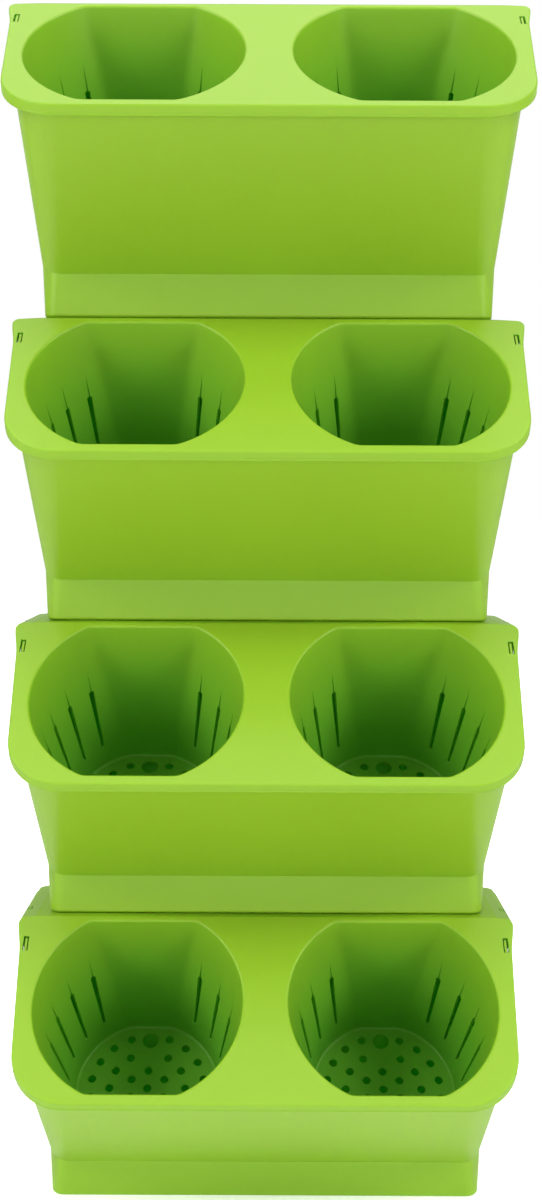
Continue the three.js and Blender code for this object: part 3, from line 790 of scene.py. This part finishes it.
def plastic(name):
    """Satin moulded plastic: faint flow and tint changes, fine grain, soft edges, painted shade in
    hollows.
    """
    material = bpy.data.materials.new(name)
    material.use_nodes = True
    nodes, links = material.node_tree.nodes, material.node_tree.links
    shader = nodes["Principled BSDF"]
    shader.inputs["IOR"].default_value = REFRACTION
    through = nodes.new("ShaderNodeBsdfTranslucent")
    through.inputs["Color"].default_value = (*GLOW, 1)
    mix = nodes.new("ShaderNodeMixShader")
    mix.inputs["Fac"].default_value = GLOW_SHARE
    links.new(shader.outputs["BSDF"], mix.inputs[1])
    links.new(through.outputs["BSDF"], mix.inputs[2])
    links.new(mix.outputs["Shader"], nodes["Material Output"].inputs["Surface"])
    coordinates = nodes.new("ShaderNodeTexCoord")
    flow = nodes.new("ShaderNodeTexNoise")
    flow.inputs["Scale"].default_value = FLOW["scale"]
    flow.inputs["Detail"].default_value = FLOW["detail"]
    links.new(coordinates.outputs["Object"], flow.inputs["Vector"])
    tint = nodes.new("ShaderNodeValToRGB")
    for element, sign in zip(tint.color_ramp.elements, (-1, 1)):
        element.color = (*[channel * (1 + sign * FLOW["tint"]) for channel in GREEN], 1)
    links.new(flow.outputs["Fac"], tint.inputs["Fac"])
    # Painted shade: where occlusion finds the surface hemmed in, the base colour turns to a darker,
    # deeper green
    shade = nodes.new("ShaderNodeAmbientOcclusion")
    shade.samples = SHADE_SAMPLES
    shade.only_local = True
    shade.inputs["Distance"].default_value = PAINTED_SHADE_REACH
    painted_shade_mix = nodes.new("ShaderNodeMix")
    painted_shade_mix.data_type = "RGBA"
    links.new(shade.outputs["AO"], painted_shade_mix.inputs[0])
    painted_shade_mix.inputs[6].default_value = (*PAINTED_SHADE_GREEN, 1)
    links.new(tint.outputs["Color"], painted_shade_mix.inputs[7])
    links.new(painted_shade_mix.outputs[2], shader.inputs["Base Color"])
    gloss = nodes.new("ShaderNodeMapRange")
    gloss.inputs["To Min"].default_value = FLOW["smooth"]
    gloss.inputs["To Max"].default_value = FLOW["rough"]
    links.new(flow.outputs["Fac"], gloss.inputs["Value"])
    links.new(gloss.outputs["Result"], shader.inputs["Roughness"])
    grain = nodes.new("ShaderNodeTexNoise")
    grain.inputs["Scale"].default_value = GRAIN["scale"]
    grain.inputs["Detail"].default_value = GRAIN["detail"]
    links.new(coordinates.outputs["Object"], grain.inputs["Vector"])
    edge = nodes.new("ShaderNodeBevel")
    edge.samples = SHADE_SAMPLES
    edge.inputs["Radius"].default_value = SOFT_EDGE
    bump = nodes.new("ShaderNodeBump")
    bump.inputs["Strength"].default_value = GRAIN["strength"]
    bump.inputs["Distance"].default_value = GRAIN["depth"]
    links.new(grain.outputs["Fac"], bump.inputs["Height"])
    links.new(edge.outputs["Normal"], bump.inputs["Normal"])
    links.new(bump.outputs["Normal"], shader.inputs["Normal"])
    return material


def pale_floor():
    """Matt white floor that glows, most of all near the tower."""
    material = bpy.data.materials.new("pale_floor")
    material.use_nodes = True
    nodes, links = material.node_tree.nodes, material.node_tree.links
    shader = nodes["Principled BSDF"]
    shader.inputs["Base Color"].default_value = (*FLOOR_COLOUR, 1)
    shader.inputs["Roughness"].default_value = FLOOR_ROUGHNESS
    coordinates = nodes.new("ShaderNodeTexCoord")
    distance = nodes.new("ShaderNodeVectorMath")
    distance.operation = "LENGTH"
    links.new(coordinates.outputs["Object"], distance.inputs["Vector"])
    spread = nodes.new("ShaderNodeMapRange")
    spread.interpolation_type = "SMOOTHSTEP"
    spread.inputs["From Min"].default_value = FLOOR_GLOW["start"]
    spread.inputs["From Max"].default_value = FLOOR_GLOW["end"]
    links.new(distance.outputs["Value"], spread.inputs["Value"])
    glow = nodes.new("ShaderNodeMath")
    glow.operation = "MULTIPLY_ADD"
    glow.inputs[1].default_value = FLOOR_GLOW["far"] - FLOOR_GLOW["near"]
    glow.inputs[2].default_value = FLOOR_GLOW["near"]
    links.new(spread.outputs["Result"], glow.inputs[0])
    light_path = nodes.new("ShaderNodeLightPath")
    seen = nodes.new("ShaderNodeMath")
    seen.operation = "MULTIPLY"
    links.new(light_path.outputs["Is Camera Ray"], seen.inputs[0])
    links.new(spread.outputs["Result"], seen.inputs[1])
    lift = nodes.new("ShaderNodeMath")
    lift.operation = "MULTIPLY_ADD"
    lift.inputs[1].default_value = FLOOR_LIFT_IN_VIEW
    links.new(seen.outputs["Value"], lift.inputs[0])
    links.new(glow.outputs["Value"], lift.inputs[2])
    shader.inputs["Emission Color"].default_value = (1, 1, 1, 1)
    links.new(lift.outputs["Value"], shader.inputs["Emission Strength"])
    return material


# Stage, light and camera

def add_floor():
    reach = FLOOR_REACH
    points = [(-reach, -reach, 0), (reach, -reach, 0), (reach, reach, 0), (-reach, reach, 0)]
    floor = mesh_object("floor", points, [(0, 1, 2, 3)])
    floor.data.materials.append(pale_floor())


def add_world():
    """White to the camera, a pale backdrop in reflections, and a soft sky that lights the rest."""
    world = bpy.data.worlds.new("studio")
    bpy.context.scene.world = world
    world.use_nodes = True
    nodes, links = world.node_tree.nodes, world.node_tree.links
    background = nodes["Background"]
    light_path = nodes.new("ShaderNodeLightPath")
    coordinates = nodes.new("ShaderNodeTexCoord")
    split = nodes.new("ShaderNodeSeparateXYZ")
    links.new(coordinates.outputs["Generated"], split.inputs["Vector"])
    height = nodes.new("ShaderNodeMapRange")
    height.inputs["To Min"].default_value = SKY_LIGHT["horizon"]
    height.inputs["To Max"].default_value = SKY_LIGHT["zenith"]
    links.new(split.outputs["Z"], height.inputs["Value"])
    backdrop = nodes.new("ShaderNodeMapRange")
    backdrop.inputs["From Min"].default_value = BACKDROP_START
    backdrop.inputs["From Max"].default_value = BACKDROP_FULL
    links.new(split.outputs["Y"], backdrop.inputs["Value"])
    mirrored = nodes.new("ShaderNodeMath")
    mirrored.operation = "MULTIPLY"
    links.new(light_path.outputs["Is Glossy Ray"], mirrored.inputs[0])
    links.new(backdrop.outputs["Result"], mirrored.inputs[1])
    white = nodes.new("ShaderNodeMath")
    white.operation = "MAXIMUM"
    links.new(light_path.outputs["Is Camera Ray"], white.inputs[0])
    links.new(mirrored.outputs["Value"], white.inputs[1])
    seen = nodes.new("ShaderNodeMix")
    seen.data_type = "FLOAT"
    links.new(white.outputs["Value"], seen.inputs["Factor"])
    links.new(height.outputs["Result"], seen.inputs["A"])
    seen.inputs["B"].default_value = 1
    background.inputs["Color"].default_value = (1, 1, 1, 1)
    links.new(seen.outputs["Result"], background.inputs["Strength"])


def add_softboxes():
    for name, box in SOFTBOXES.items():
        lamp = bpy.data.lights.new(name, "AREA")
        lamp.shape = "RECTANGLE"
        lamp.size, lamp.size_y = box["size"]
        lamp.energy = box["power"]
        obj = bpy.data.objects.new(name, lamp)
        obj.location = box["place"]
        obj.rotation_mode = "QUATERNION"
        obj.rotation_quaternion = (Vector(SOFTBOX_TARGET) - obj.location).to_track_quat("-Z", "Y")
        bpy.context.scene.collection.objects.link(obj)


def add_camera(top_fold):
    camera = bpy.data.cameras.new("camera")
    camera.lens = SENSOR * FOCAL_PIXELS / IMAGE_HEIGHT
    camera.sensor_width = SENSOR
    camera.shift_y = PRINCIPAL_DROP_PIXELS / IMAGE_HEIGHT
    camera.clip_start, camera.clip_end = CAMERA_CLIP
    obj = bpy.data.objects.new("camera", camera)
    pitch = Matrix.Rotation(math.pi / 2 - CAMERA_PITCH, 4, "X")
    turn = pitch @ Matrix.Rotation(CAMERA_ROLL, 4, "Z")
    place = top_fold + Vector((CAMERA_SIDE, -CAMERA_DISTANCE, -CAMERA_DROP))
    obj.matrix_world = Matrix.Translation(place) @ turn
    bpy.context.scene.collection.objects.link(obj)
    bpy.context.scene.camera = obj


def fold_of(tier):
    """Where the fold of a tier's tray crosses the middle, from the tray's packed box."""
    low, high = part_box(f"planting_tray_{tier}")
    return Vector(((low.x + high.x) / 2, high.y - LEDGE_DEPTH, high.z))


def place_pieces(kind, model, body_kind, material):
    """A copy of one finished piece for each tier, riding on that tier's body."""
    model.data.materials.clear()
    model.data.materials.append(material)
    for tier in range(1, TIERS + 1):
        piece = bpy.data.objects.new(f"{kind}_{tier}_moulded", model.data)
        bpy.context.scene.collection.objects.link(piece)
        piece.location = fold_of(tier)
        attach(piece, f"{body_kind}_{tier}")
        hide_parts(f"{kind}_{tier}")
    bpy.data.objects.remove(model)


bpy.context.scene.view_settings.view_transform = "Standard"

tray = smooth(planting_tray())
place_pieces("planting_tray", tray, "planting_tray", plastic("tray_green"))
box = smooth(trough())
place_pieces("trough", box, "trough", plastic("trough_green"))
tube = smooth(overflow_tube())
place_pieces("overflow_tube", tube, "trough", plastic("tube_green"))

add_floor()
add_world()
add_softboxes()
add_camera(fold_of(TIERS))
